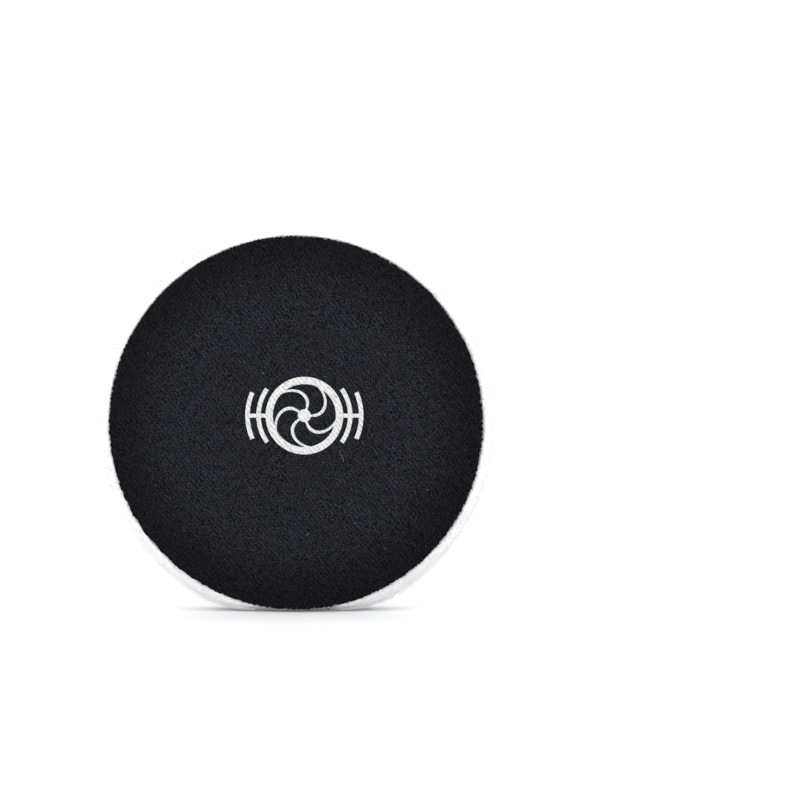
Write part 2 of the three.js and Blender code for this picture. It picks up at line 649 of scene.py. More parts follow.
@dataclass(frozen=True)
class LoopClothFinish:
    """Brushed black nylon: lighter floats on the ribs, dusty, with painted shade that darkens it towards
    the cut edge.
    """

    ground: Colour = (0.0003, 0.0003, 0.0006)
    floats: Colour = (0.0252, 0.0264, 0.0322)
    # painted shade: the share of the cloth's colour that is left at the cut edge
    edge_tone: float = 0.50
    dash: Colour = (0.20 * MM, 1.0 * MM, 0.52 * MM)  # across the ribs, through the cloth, along
    fuzz_scale: float = 3000.0
    patch_scale: float = 55.0

    def material(self, pad: PadSizes, rib_angle: float) -> bpy.types.Material:
        """Makes the cloth's material.

        Args:
            pad: the pad's sizes, for the painted shade at the edge.
            rib_angle: the angle of the line across the ribs, for the broken floats.

        Returns:
            The material.
        """
        paint = Paint("black_loop_cloth")
        local = paint.mapped(pad.centre)
        ribs = paint.attribute("rib")
        along = paint.mapped(pad.centre, rib_angle, tuple(1 / size for size in self.dash))
        dashes = paint.noise(along, 1.0, 1.0, 0.5).stepped(0.3, 0.7)
        fuzz = paint.noise(local, self.fuzz_scale, 1.0, 0.5).stepped(0.25, 0.75)
        patches = paint.noise(local, self.patch_scale, 3.0, 0.6)
        fluff = ribs * 0.38 + dashes * 0.8 + fuzz * 1.6 + patches * 0.06 - 1.12
        flat = {0: local, 1: (1, 0, 1)}
        across = paint.node("ShaderNodeVectorMath", {"operation": "MULTIPLY"}, flat)
        radius = paint.node("ShaderNodeVectorMath", {"operation": "LENGTH"}, {0: across})
        # painted shade: the colour darkens from 62% of the radius out to the cut edge
        painted_shade_near_edge = radius.stepped(0.62 * pad.backing_radius, 0.97 * pad.backing_radius)
        lit = paint.mix(fluff.stepped(0.0, 1.0), self.ground, self.floats)
        tone = 1 - painted_shade_near_edge * (1 - self.edge_tone)
        colour = paint.scaled(lit, tone)
        normal = paint.bump(dashes + ribs * 0.6, 0.14 * MM, 0.7)
        return paint.surface(
            Base_Color=colour,
            Roughness=0.82 + fuzz * 0.18,
            Normal=normal,
            Specular_IOR_Level=0.035,
            Sheen_Weight=0.006,
            Sheen_Roughness=0.5,
            Sheen_Tint=(0.7, 0.8, 1.0),
        )


@dataclass(frozen=True)
class InkFinish:
    """White screen-printing ink, thinner in the valleys between the ribs."""

    ink: Colour = (0.465, 0.465, 0.465)
    thin: Colour = (0.10, 0.10, 0.105)
    dash: Colour = (0.55 * MM, 1.0 * MM, 1.3 * MM)
    grain_scale: float = 1700.0

    def material(self, pad: PadSizes, rib_angle: float) -> bpy.types.Material:
        """Makes the ink's material.

        Args:
            pad: the pad's sizes.
            rib_angle: the angle of the line across the ribs.

        Returns:
            The material.
        """
        paint = Paint("white_ink")
        grain = paint.noise(paint.mapped(pad.centre), self.grain_scale, 3.0, 0.6)
        along = paint.mapped(pad.centre, rib_angle, tuple(1 / size for size in self.dash))
        dashes = paint.noise(along, 1.0, 2.0, 0.6)
        cover = (paint.attribute("rib") * 0.25 + grain * 0.7 + dashes * 0.7).stepped(0.30, 0.95)
        return paint.surface(
            Base_Color=paint.mix(cover, self.thin, self.ink),
            Roughness=0.55 + grain * 0.2,
            Normal=paint.bump(dashes, 0.05 * MM, 0.6),
            Specular_IOR_Level=0.2,
        )


@dataclass(frozen=True)
class StrandFinish:
    """Fibres coloured by their map: cool to warm across it, and root to tip up it."""

    name: str
    root: Colour
    cool: Colour
    warm: Colour
    tints: float = 0.10
    through: float = 0.0  # how much light the fibres let through
    columns: int = 24

    def material(self) -> bpy.types.Material:
        """Makes the fibres' material.

        Returns:
            The material.
        """
        paint = Paint(self.name)
        chart = paint.node("ShaderNodeUVMap", {"uv_map": BAKE_MAP})
        split = paint.node("ShaderNodeSeparateXYZ", {}, {0: chart})
        across, along = split.output("X"), split.output("Y")
        column = paint.node("ShaderNodeMath", {"operation": "FLOOR"}, {0: across * self.columns})
        tint = paint.node("ShaderNodeTexWhiteNoise", {"noise_dimensions": "1D"}, {"W": column + 0.5})
        tip = paint.mix(across, self.cool, self.warm)
        body = paint.mix(along.stepped(-0.1, 0.75), self.root, tip)
        tone = 1 - self.tints + tint.output("Value") * (2 * self.tints)
        return paint.surface(
            Base_Color=paint.scaled(body, tone),
            Roughness=0.85,
            Specular_IOR_Level=0.2,
            Subsurface_Weight=self.through,
            Subsurface_Radius=(1.0, 1.0, 1.0),
            Subsurface_Scale=1.0 * MM,
        )


@dataclass(frozen=True)
class WoolGroundFinish:
    """The dense underlayer of the pile: a painted highlight makes it whiter at the lip, and painted shade
    makes it a little darker between tufts and darker at the foot.
    """

    face_pale: Colour = (0.76, 0.74, 0.73)
    face_deep: Colour = (0.66, 0.635, 0.62)
    # painted highlight: the lip's colours are whiter than the face's, standing in for the bright backlit
    # fringe
    lip_pale: Colour = (0.935, 0.92, 0.935)
    lip_deep: Colour = (0.87, 0.87, 0.87)
    foot: Colour = (0.41, 0.37, 0.365)  # painted shade for the contact shadow where the wool is pressed in under the cloth's lowest edge
    fibre_scale: float = 1100.0
    patch_scale: float = 60.0

    def material(self, pad: PadSizes) -> bpy.types.Material:
        """Makes the underlayer's material.

        Args:
            pad: the pad's sizes.

        Returns:
            The material.
        """
        paint = Paint("wool_ground")
        local = paint.mapped(pad.centre)
        fibres = paint.noise(local, self.fibre_scale, 4.0, 0.65)
        patches = paint.noise(local, self.patch_scale, 2.0, 0.5)
        depth = paint.node("ShaderNodeSeparateXYZ", {}, {0: local}).output("Y")
        face = depth.stepped(pad.lip_front, 0.8 * pad.wool_face)
        pale = paint.mix(face, self.lip_pale, self.face_pale)
        deep = paint.mix(face, self.lip_deep, self.face_deep)
        # painted shade between tufts from the stored tuft mask, mixed with real fibre grain and patches
        tuft_shade_and_grain = (paint.attribute("tuft") * 0.5 + fibres * 0.6 + patches * 0.2).stepped(0.15, 0.95)
        body = paint.mix(tuft_shade_and_grain, deep, pale)
        return paint.surface(
            # painted shade: the stored foot mask darkens the wool under the cloth's lowest edge
            Base_Color=paint.mix(paint.attribute("foot"), body, self.foot),
            Roughness=0.9 + fibres * 0.1,
            Normal=paint.bump(fibres, 0.4 * MM, 0.7),
            Specular_IOR_Level=0.1,
            Sheen_Weight=0.1,
            Sheen_Roughness=0.6,
        )


@dataclass(frozen=True)
class FoamFinish:
    """Fine open-cell foam, seen only as a thin line at the cut edge."""

    skin: Colour = (0.82, 0.81, 0.79)
    pore: Colour = (0.52, 0.51, 0.49)
    cell_scale: float = 1500.0

    def material(self, pad: PadSizes) -> bpy.types.Material:
        """Makes the foam's material.

        Args:
            pad: the pad's sizes.

        Returns:
            The material.
        """
        paint = Paint("foam")
        cells = paint.node(
            "ShaderNodeTexVoronoi", {"feature": "F1"},
            {"Vector": paint.mapped(pad.centre), "Scale": self.cell_scale})
        open_cell = cells.output("Distance").stepped(0.15, 0.6)
        return paint.surface(
            Base_Color=paint.mix(open_cell, self.skin, self.pore),
            Roughness=0.85 + open_cell * 0.15,
            Normal=paint.bump(1 - open_cell, 0.15 * MM, 0.8),
        )


@dataclass(frozen=True)
class GlueFinish:
    """Hot-melt film: waxy, with small bubbles and a little yellow."""

    clear: Colour = (0.70, 0.69, 0.66)
    milky: Colour = (0.84, 0.83, 0.81)
    bubble_scale: float = 900.0

    def material(self, pad: PadSizes) -> bpy.types.Material:
        """Makes the film's material.

        Args:
            pad: the pad's sizes.

        Returns:
            The material.
        """
        paint = Paint("bond_film")
        bubbles = paint.noise(paint.mapped(pad.centre), self.bubble_scale, 2.0, 0.5)
        return paint.surface(
            Base_Color=paint.mix(bubbles, self.clear, self.milky),
            Roughness=0.3 + bubbles * 0.3,
            Normal=paint.bump(bubbles, 0.05 * MM, 0.5),
        )


@dataclass(frozen=True)
class KnitFinish:
    """The knitted base cloth of the pile: rows of small stitches."""

    yarn: Colour = (0.82, 0.81, 0.79)
    gap: Colour = (0.56, 0.55, 0.53)
    stitch: float = 1.1 * MM

    def material(self, pad: PadSizes) -> bpy.types.Material:
        """Makes the knitted cloth's material.

        Args:
            pad: the pad's sizes.

        Returns:
            The material.
        """
        paint = Paint("base_knit")
        local = paint.mapped(pad.centre, stretch=(1 / self.stitch, 1 / self.stitch, 1 / self.stitch))
        waves = [
            paint.node(
                "ShaderNodeTexWave", {"wave_type": "BANDS", "bands_direction": axis},
                {"Vector": local, "Scale": 0.314, "Distortion": 0.6})
            for axis in ("X", "Z")
        ]
        stitches = waves[0] * waves[1]
        return paint.surface(
            Base_Color=paint.mix(stitches.stepped(0.02, 0.5), self.gap, self.yarn),
            Roughness=0.95,
            Normal=paint.bump(stitches, 0.3 * MM, 0.8),
        )


@dataclass(frozen=True)
class FloorFinish:
    """A plain white table top, with the faintest cloudiness."""

    light: Colour = (0.772, 0.776, 0.787)
    cloud: Colour = (0.760, 0.764, 0.775)

    def material(self) -> bpy.types.Material:
        """Makes the table top's material.

        Returns:
            The material.
        """
        paint = Paint("white_table")
        clouds = paint.noise(paint.place(), 3.0, 2.0, 0.5)
        return paint.surface(
            Base_Color=paint.mix(clouds, self.light, self.cloud),
            Roughness=0.85,
            Specular_IOR_Level=0.1,
        )


# --------------------------------------------------------------- fibre making


@dataclass
class Strands:
    """Where each fibre of a batch grows, and its shape.

    Each row is one fibre: it starts at root along growth, bends towards sag by the end, and its
    flat side faces across outward.
    """

    root: Points
    growth: Points
    sag: Points
    outward: Points
    length: np.ndarray
    width: np.ndarray

    def __len__(self) -> int:
        """The number of fibres."""
        return len(self.root)

    def part(self, chosen: Any) -> Strands:
        """The chosen fibres only."""
        return Strands(*(getattr(self, key)[chosen] for key in self.__dataclass_fields__))


class Wisp:
    """One small tapered wisp, modelled once along Z and copied along every fibre."""

    flatness = 0.55  # its thickness as a share of its width

    def __init__(self) -> None:
        """Models the wisp: a three-sided spike, cut and swollen halfway up."""
        deselect_all()
        bpy.ops.mesh.primitive_cone_add(
            vertices=3, radius1=0.5, radius2=0.0, depth=1.0, location=(0, 0, 0.5),
            end_fill_type="NGON")
        spike = named("wisp_pattern")
        bpy.ops.object.transform_apply(location=True)
        with editing(spike):
            bpy.ops.mesh.bisect(plane_co=(0, 0, 0.5), plane_no=(0, 0, 1))
            bpy.ops.mesh.select_all(action="SELECT")
            bpy.ops.mesh.quads_convert_to_tris()
        shape = points_of(spike)
        height = shape[:, 2]
        taper = np.maximum(1 - height, 1e-6)
        fullness = np.sqrt(np.clip(taper, 0, 1)) * (0.7 + 0.6 * np.sin(math.pi * height))
        shape[:, :2] *= (fullness / taper)[:, None] * (height < 1 - 1e-6)[:, None]
        shape[:, 1] *= self.flatness
        self.shape = shape
        self.faces = np.array([tuple(p.vertices) for p in spike.data.polygons])
        bpy.data.objects.remove(spike)

    def along(self, strands: Strands) -> tuple[Points, np.ndarray]:
        """Copies the wisp along each fibre.

        Args:
            strands: the fibres.

        Returns:
            All vertices, fibre by fibre, and all triangles.
        """
        height = self.shape[:, 2]
        length = strands.length[:, None, None]
        line = (
            strands.root[:, None, :]
            + length * height[None, :, None] * strands.growth[:, None, :]
            + length * (height**2)[None, :, None] * strands.sag[:, None, :]
        )
        across = unit(np.cross(strands.growth, strands.outward))
        up = unit(np.cross(across, strands.growth))
        sideways = (
            self.shape[None, :, 0, None] * across[:, None, :]
            + self.shape[None, :, 1, None] * up[:, None, :]
        )
        points = line + strands.width[:, None, None] * sideways
        count = len(self.shape)
        faces = self.faces[None] + count * np.arange(len(strands))[:, None, None]
        return points.reshape(-1, 3), faces.reshape(-1, 3)

    def chart(self, column: np.ndarray) -> Points:
        """Each vertex's place on the colour map, from root to tip up the column of its fibre.

        Args:
            column: the column of each fibre.

        Returns:
            The chart.
        """
        round_it = 0.5 + 0.3 * self.shape[:, 0] / np.abs(self.shape[:, 0]).max()
        u = (column[:, None] + round_it[None, :]) / StrandFinish.columns
        v = np.broadcast_to(0.02 + 0.96 * self.shape[:, 2], u.shape)
        return np.stack([u, v], 2).reshape(-1, 2)


def evenly_on(
    obj: bpy.types.Object, count: int, rng: np.random.Generator, wanted: Weights,
) -> tuple[Points, Points]:
    """Points spread evenly over the wanted faces of a mesh.

    Args:
        obj: the mesh's object.
        count: how many points.
        rng: where the chance comes from.
        wanted: gives each face its weight.

    Returns:
        The points, and the faces' normals there.
    """
    mesh = obj.data
    mesh.calc_loop_triangles()
    corners = read(mesh.loop_triangles, "vertices", np.int32, 3)
    a, b, c = points_of(obj)[corners].transpose(1, 0, 2)
    doubled = np.cross(b - a, c - a)
    normal = unit(doubled)
    weight = np.linalg.norm(doubled, axis=1) * wanted((a + b + c) / 3, normal)
    steps = (np.arange(count) + rng.random(count)) / count
    face = np.searchsorted(np.cumsum(weight) / weight.sum(), steps).clip(0, len(weight) - 1)
    u, v = rng.random((2, count, 1))
    u, v = np.where(u + v > 1, 1 - u, u), np.where(u + v > 1, 1 - v, v)
    return a[face] + u * (b - a)[face] + v * (c - a)[face], normal[face]


def tree_of(points: Points) -> KDTree:
    """A tree that finds these points by their place.

    Args:
        points: the points.

    Returns:
        The tree.
    """
    tree = KDTree(len(points))
    for i, point in enumerate(points):
        tree.insert(point, i)
    tree.balance()
    return tree


def nearest(points: Points, centres: Points) -> tuple[np.ndarray, np.ndarray]:
    """For each point, the number of its nearest centre and how far it is.

    Args:
        points: the points.
        centres: the points to find.

    Returns:
        The nearest centre of each point.
    """
    tree = tree_of(centres)
    found = [tree.find(p)[1:] for p in points]
    return np.array([f[0] for f in found]), np.array([f[1] for f in found])


def dress(piece: bpy.types.Object, material: bpy.types.Material, node: str = "") -> None:
    """Gives a piece its material, and hides the frame's solid that it stands for.

    Args:
        piece: the piece.
        material: its material.
        node: the frame's solid that it stands for, if it stands for one.
    """
    piece.data.materials.append(material)
    if node:
        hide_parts(node)


def turned(name: str, section: Points, steps: int, pad: PadSizes) -> bpy.types.Object:
    """Spins a section about the pad's axis into a closed solid.

    Args:
        name: the piece's name.
        section: radius and Y of each point, from the axis round to the axis.
        steps: how many steps the turn has.
        pad: the pad's sizes.

    Returns:
        The new object.
    """
    points = np.column_stack([section[:, 0], section[:, 1], np.full(len(section), pad.axis_height)])
    mesh = bpy.data.meshes.new(name)
    mesh.from_pydata(points.tolist(), [(i, i + 1) for i in range(len(section) - 1)], [])
    obj = placed(name, mesh)
    with editing(obj):
        bpy.ops.mesh.spin(
            steps=steps, angle=2 * math.pi, center=pad.centre, axis=(0, 1, 0), use_auto_merge=True)
        bpy.ops.mesh.select_all(action="SELECT")
        bpy.ops.mesh.remove_doubles(threshold=0.01 * MM)
        bpy.ops.mesh.normals_make_consistent(inside=False)
    return obj


# -------------------------------------------------------------- the loop side


@dataclass
class LoopSide:
    """The black loop cloth, its printed sign, its loops and frays, and the dust on it."""

    pad: PadSizes
    thickness: float = 1.2 * MM
    wave_radius: float = 75 * MM  # of the circle on which the edge's waves are drawn
    loop_length: tuple[float, float] = (0.5, 1.3)  # this and the next three in millimetres
    loop_width: tuple[float, float] = (0.05, 0.09)
    fray_width: tuple[float, float] = (0.08, 0.17)
    lint_width: tuple[float, float] = (0.07, 0.15)
    hair_width: float = 0.07 * MM
    thread_width: float = 0.32 * MM
    thread_angle: float = math.radians(-81.2)
    curl_width: float = 0.20 * MM
    curl_angle: float = math.radians(-78.9)
    rib_angle: float = math.radians(40)  # of the line across the ribs, from X towards Z
    rib_pitch: float = 1.54 * MM
    rib_height: float = 0.15 * MM
    cells_per_rib: int = 4
    cell_along: float = 0.68 * MM
    ink_cell: float = 0.20 * MM
    ink_lift: float = 0.05 * MM
    ink_thickness: float = 0.08 * MM
    loops: int = 7000
    frays: int = 1500
    specks: int = 48
    edge_steps: tuple[tuple[float, float], ...] = ((0.35, 1.0015), (0.4, 1.0), (0.25, 0.996))
    edge_waves: tuple[tuple[float, float], ...] = ((1.5, 0.15), (2.8, 0.11), (7.0, 0.08), (22.0, 0.09))
    finish: LoopClothFinish = field(default_factory=LoopClothFinish)

    @property
    def roll(self) -> float:
        """How far the cloth has dropped back at its cut edge."""
        return self.pad.loop_back_rim - self.pad.loop_front - self.thickness

    def ribs(self, points: Points) -> np.ndarray:
        """The cloth's relief at points near its front, from 0 in a valley to 1 on a float.

        Ribs run down to the right. Each is broken into floats, and neighbours are out of step.

        Args:
            points: the points.

        Returns:
            The relief at each point.
        """
        x, z = points[:, 0], points[:, 2] - self.pad.axis_height
        across = x * math.cos(self.rib_angle) + z * math.sin(self.rib_angle)
        along = z * math.cos(self.rib_angle) - x * math.sin(self.rib_angle)
        flat = np.column_stack([across, along, np.zeros(len(points))])
        sway = self.rib_pitch * (0.12 * Ripple(9 * MM, 3)(flat) + 0.06 * Ripple(3.2 * MM, 4)(flat))
        phase = (across + sway) / self.rib_pitch
        row = np.floor(phase + 0.25)
        ridge = 0.5 + 0.5 * np.sin(2 * math.pi * phase)
        floats = np.column_stack([row * 7.3 * MM, along, row * 3.1 * MM])
        breaks = 0.5 + 0.5 * np.clip(1.3 * Ripple(1.2 * MM, 5)(floats), -1, 1)
        slub = 0.5 + 0.3 * Ripple(4 * MM, 7)(flat)
        return np.clip(ridge * (0.6 + 0.4 * breaks) * (0.85 + 0.3 * slub), 0, 1)

    def front(self, points: Points) -> np.ndarray:
        """Y of the cloth's front at points given by X and Z.

        Args:
            points: the points.

        Returns:
            Y at each point.
        """
        radius = self.pad.radius_of(points)
        pucker = 0.10 * MM * Ripple(17 * MM, 11)(points * np.array([1.0, 0.0, 1.0]))
        relief = self.rib_height * (self.ribs(points) - 0.5)
        return self.pad.loop_front + self.pad.rolled(radius, self.roll) - relief - pucker

    def grid(self, name: str, across: float, along: float, reach: float) -> bpy.types.Object:
        """A flat grid in X and Z, square to the ribs, about the pad's axis.

        Args:
            name: the piece's name.
            across: the cells' size across the ribs.
            along: the cells' size along the ribs.
            reach: how far the grid goes from the axis.

        Returns:
            The new object.
        """
        deselect_all()
        nx, ny = (2 * round(reach / size) for size in (across, along))
        bpy.ops.mesh.primitive_grid_add(x_subdivisions=nx, y_subdivisions=ny, size=2.0)
        obj = named(name)
        flat = points_of(obj)
        u, v = flat[:, 0] * nx * across / 2, flat[:, 1] * ny * along / 2
        cos, sin = math.cos(self.rib_angle), math.sin(self.rib_angle)
        x, z = u * cos - v * sin, u * sin + v * cos
        move_points(obj, np.column_stack([x, np.zeros(len(x)), z + self.pad.axis_height]))
        with editing(obj):
            bpy.ops.mesh.normals_make_consistent(inside=False)
        return obj

    def keep_faces(self, obj: bpy.types.Object, kept: np.ndarray) -> None:
        """Deletes the faces of obj that aren't kept.

        Args:
            obj: the mesh's object.
            kept: whether each face is kept.
        """
        activate(obj)
        bpy.ops.object.mode_set(mode="EDIT")
        bpy.ops.mesh.select_mode(type="FACE")
        bpy.ops.object.mode_set(mode="OBJECT")
        obj.data.polygons.foreach_set("select", ~kept)
        bpy.ops.object.mode_set(mode="EDIT")
        bpy.ops.mesh.delete(type="FACE")
        bpy.ops.mesh.select_mode(type="VERT")
        bpy.ops.object.mode_set(mode="OBJECT")

    def rim_of(self, obj: bpy.types.Object) -> np.ndarray:
        """Whether each vertex of obj lies on an open edge.

        Args:
            obj: the mesh's object.

        Returns:
            One answer for each vertex.
        """
        uses = np.zeros(len(obj.data.edges), int)
        np.add.at(uses, read(obj.data.loops, "edge_index", np.int32), 1)
        on_rim = np.zeros(len(obj.data.vertices), bool)
        on_rim[read(obj.data.edges, "vertices", np.int32, 2)[uses == 1].ravel()] = True
        return on_rim

    def face_outwards(self, obj: bpy.types.Object) -> None:
        """Turns the faces of a front sheet towards -Y, where the plate goes.

        Args:
            obj: the mesh's object.
        """
        if read_points(obj.data.polygons, "normal")[:, 1].sum() > 0:
            with editing(obj):
                bpy.ops.mesh.flip_normals()

    def mark_ribs(self, obj: bpy.types.Object) -> None:
        """Stores the relief on the mesh, where the finish reads it."""
        store(obj, "rib", self.ribs(points_of(obj)))

    def make_cloth(self) -> bpy.types.Object:
        """Makes the die-cut disc of loop cloth, ribbed in front and closed behind.

        Returns:
            The cloth.
        """
        across = self.rib_pitch / self.cells_per_rib
        cut = self.pad.backing_radius
        obj = self.grid("loop_cloth", across, self.cell_along, cut + 2 * self.cell_along)
        middle = read_points(obj.data.polygons, "center")
        self.keep_faces(obj, self.pad.radius_of(middle) < cut - 0.2 * self.cell_along)
        points = points_of(obj)
        on_rim = self.rim_of(obj)
        points[on_rim] = self.cut_edge(points[on_rim])
        points[:, 1] = self.front(points)
        move_points(obj, points)
        self.face_outwards(obj)
        self.close_behind(obj)
        self.mark_ribs(obj)
        shade_smooth(obj)
        return obj

    def cut_edge(self, points: Points) -> Points:
        """Moves rim points out to the die's circle, with the small slips of a fabric edge.

        Args:
            points: the points.

        Returns:
            The moved points.
        """
        angle = np.arctan2(points[:, 2] - self.pad.axis_height, points[:, 0])
        ring = np.column_stack([np.cos(angle), np.sin(angle), np.zeros(len(angle))]) * self.wave_radius
        slip = sum(
            height * MM * Ripple(length * MM, seed)(ring)
            for seed, (length, height) in enumerate(self.edge_waves, start=21))
        floats = 0.42 * MM * (self.ribs(points) - 0.35)
        return self.pad.on_circle(self.pad.backing_radius + slip + floats - 0.15 * MM, angle)

    def close_behind(self, obj: bpy.types.Object) -> None:
        """Gives the cloth its thickness: the rim is extruded back, drawn in and filled.

        Args:
            obj: the mesh's object.
        """
        activate(obj)
        bpy.ops.object.mode_set(mode="EDIT")
        bpy.ops.mesh.select_mode(type="EDGE")
        bpy.ops.mesh.select_all(action="DESELECT")
        bpy.ops.mesh.select_non_manifold(
            extend=False, use_wire=False, use_multi_face=False, use_non_contiguous=False,
            use_verts=False)
        for step, size in self.edge_steps:
            bpy.ops.mesh.extrude_edges_move(
                TRANSFORM_OT_translate={"value": (0, step * self.thickness, 0)})
            bpy.ops.transform.resize(value=(size, 1, size), center_override=self.pad.centre)
        for share in (0.93, 0.85, self.pad.flat_share):
            bpy.ops.mesh.extrude_edges_move()
            self.place_ring(obj, share * self.pad.backing_radius)
        bpy.ops.mesh.edge_face_add()
        bpy.ops.mesh.select_mode(type="VERT")
        bpy.ops.object.mode_set(mode="OBJECT")

    def place_ring(self, obj: bpy.types.Object, radius: float) -> None:
        """Moves the selected ring of the cloth's back to a radius, and stays in edit mode.

        Args:
            obj: the mesh's object.
            radius: the ring's new radius.
        """
        bpy.ops.object.mode_set(mode="OBJECT")
        ring = np.flatnonzero(read(obj.data.vertices, "select", bool))
        points = points_of(obj)
        x, z = points[ring, 0], points[ring, 2] - self.pad.axis_height
        scale = radius / np.maximum(np.hypot(x, z), 1e-9)
        back = self.pad.loop_front + self.thickness
        points[ring, 0] = x * scale
        points[ring, 1] = back + self.pad.rolled(np.array([radius]), self.roll)[0]
        points[ring, 2] = self.pad.axis_height + z * scale
        move_points(obj, points)
        bpy.ops.object.mode_set(mode="EDIT")

    def make_sign(self) -> bpy.types.Object:
        """Prints the sign: a skin of ink that follows the ribs.

        Returns:
            The sign.
        """
        sign = Sign.from_frame()
        reach = sign.reach + math.hypot(sign.x, sign.z - self.pad.axis_height)
        obj = self.grid("printed_sign", self.ink_cell, self.ink_cell, reach)
        self.keep_faces(obj, sign.distance(read_points(obj.data.polygons, "center")) < 0)
        points = points_of(obj)
        on_rim = self.rim_of(obj)
        points[on_rim] = sign.snapped(points[on_rim], self.ink_cell)
        points[:, 1] = self.front(points) - self.ink_lift
        move_points(obj, points)
        self.face_outwards(obj)
        apply_modifier(obj, "SOLIDIFY", thickness=self.ink_thickness, offset=-1.0)
        self.mark_ribs(obj)
        shade_smooth(obj)
        return obj

    def make_loops(self, cloth: bpy.types.Object, wisp: Wisp) -> bpy.types.Object:
        """Scatters the small loose loops that the brushing has raised on the cloth.

        Args:
            cloth: the loop cloth.
            wisp: the wisp that is copied.

        Returns:
            The loops as one mesh.
        """
        rng = np.random.default_rng(Seed.LOOPS)
        sign_low, sign_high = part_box("printed_mark")

        def bare(middle: Points, normal: Points) -> np.ndarray:
            """The front of the cloth, with few loops where the ink binds them down.

            Args:
                middle: the faces' middles.
                normal: their normals.

            Returns:
                A weight for each face.
            """
            inside = (
                (middle[:, 0] > sign_low.x) & (middle[:, 0] < sign_high.x)
                & (middle[:, 2] > sign_low.z) & (middle[:, 2] < sign_high.z)
            )
            return (normal[:, 1] < -0.3) * np.where(inside, 0.25, 1.0)

        root, normal = evenly_on(cloth, self.loops, rng, bare)
        lean = along_surface(unit(rng.normal(size=normal.shape) + np.array([0.6, 0.0, -0.8])), normal)
        growth = unit(normal * rng.uniform(0.35, 0.9, (self.loops, 1)) + unit(lean))
        strands = Strands(
            root=root - 0.05 * MM * normal,
            growth=growth,
            sag=-normal * rng.uniform(0.35, 0.75, (self.loops, 1)),
            outward=normal,
            length=rng.uniform(*self.loop_length, self.loops) * MM,
            width=rng.uniform(*self.loop_width, self.loops) * MM,
        )
        return self.grown("cloth_loops", strands, wisp, rng)

    def make_frays(self, wisp: Wisp) -> bpy.types.Object:
        """Makes the fibre ends that stand out of the die-cut edge.

        Args:
            wisp: the wisp that is copied.

        Returns:
            The fibre ends as one mesh.
        """
        rng = np.random.default_rng(Seed.FRAYS)
        angle = rng.uniform(0, 2 * math.pi, self.frays)
        out = np.column_stack([np.cos(angle), np.zeros(self.frays), np.sin(angle)])
        along = np.column_stack([-np.sin(angle), np.zeros(self.frays), np.cos(angle)])
        root = out * (self.pad.backing_radius - 0.25 * MM) + np.array(self.pad.centre)
        root[:, 1] = self.pad.loop_back_rim - self.thickness * rng.uniform(0.2, 1.0, self.frays)
        near_floor = root[:, 2] < 4 * MM
        sweep = rng.normal(0, 0.8, (self.frays, 1))
        strands = Strands(
            root=root,
            growth=unit(out + sweep * along + np.array([0.0, -0.15, 0.0])),
            sag=0.3 * rng.normal(size=(self.frays, 3)),
            outward=np.tile([0.0, -1.0, 0.0], (self.frays, 1)),
            length=np.where(near_floor, 0.6, rng.gamma(2.4, 0.28, self.frays).clip(0.3, 1.7)) * MM,
            width=rng.uniform(*self.fray_width, self.frays) * MM,
        )
        return self.grown("cloth_frays", strands, wisp, rng)

    def make_dust(self, wisp: Wisp) -> bpy.types.Object:
        """Makes the few specks of white lint that cling to the cloth.

        Args:
            wisp: the wisp that is copied.

        Returns:
            The specks as one mesh.
        """
        rng = np.random.default_rng(Seed.LINT)
        angle = rng.uniform(0, 2 * math.pi, self.specks)
        radius = self.pad.backing_radius * 0.97 * np.sqrt(rng.random(self.specks))
        root = self.pad.on_circle(radius, angle)
        root[:, 1] = self.front(root) - 0.08 * MM
        lie = unit(rng.normal(size=(self.specks, 3)) * np.array([1.0, 0.08, 1.0]))
        strands = Strands(
            root=root,
            growth=lie,
            sag=0.5 * rng.normal(size=(self.specks, 3)) * np.array([1.0, 0.1, 1.0]),
            outward=np.tile([0.0, -1.0, 0.0], (self.specks, 1)),
            length=rng.gamma(2.0, 0.22, self.specks).clip(0.2, 1.2) * MM,
            width=rng.uniform(*self.lint_width, self.specks) * MM,
        )
        return self.grown("cloth_lint", strands, wisp, rng)

    def grown(
        self, name: str, strands: Strands, wisp: Wisp, rng: np.random.Generator,
    ) -> bpy.types.Object:
        """Turns fibres into one mesh, with a column of the colour map for each drawn by chance.

        Args:
            name: the piece's name.
            strands: the fibres.
            wisp: the wisp that is copied.
            rng: where the chance comes from.

        Returns:
            The mesh's object.
        """
        points, faces = wisp.along(strands)
        chart = wisp.chart(rng.integers(0, StrandFinish.columns, len(strands)))
        return many_copies(name, points, faces, chart)

    def thread(self, name: str, line: Points, thickness: float) -> bpy.types.Object:
        """Makes a thin round thread along a line.

        Args:
            name: the piece's name.
            line: the points that it follows.
            thickness: its diameter.

        Returns:
            The thread as a closed mesh.
        """
        curve = bpy.data.curves.new(name, "CURVE")
        curve.dimensions = "3D"
        curve.bevel_depth = thickness / 2
        curve.bevel_resolution = 1
        curve.use_fill_caps = True
        spline = curve.splines.new("POLY")
        spline.points.add(len(line) - 1)
        for point, place in zip(spline.points, line, strict=True):
            point.co = (*place, 1.0)
        activate(placed(name, curve))
        bpy.ops.object.convert(target="MESH")
        made = bpy.context.active_object
        share = nearest(points_of(made), line)[0] / (len(line) - 1)
        corners = read(made.data.loops, "vertex_index", np.int32)
        map_corners(made.data, np.column_stack([np.full(len(corners), 0.5), 0.05 + 0.9 * share[corners]]))
        return made

    def make_hair(self) -> bpy.types.Object:
        """Makes the one curly hair of lint that hangs below the sign.

        Returns:
            The hair.
        """
        share = np.linspace(0, 1, 24)
        x = 18.2 * MM + (1.0 * share**2 - 0.45 * np.sin(2 * math.pi * share)) * MM
        z = self.pad.axis_height - 10.6 * MM - 4.6 * share * MM
        line = np.column_stack([x, np.zeros(len(x)), z])
        line[:, 1] = self.front(line) - (0.10 + 0.25 * np.sin(math.pi * share)) * MM
        return self.thread("lint_hair", line, self.hair_width)

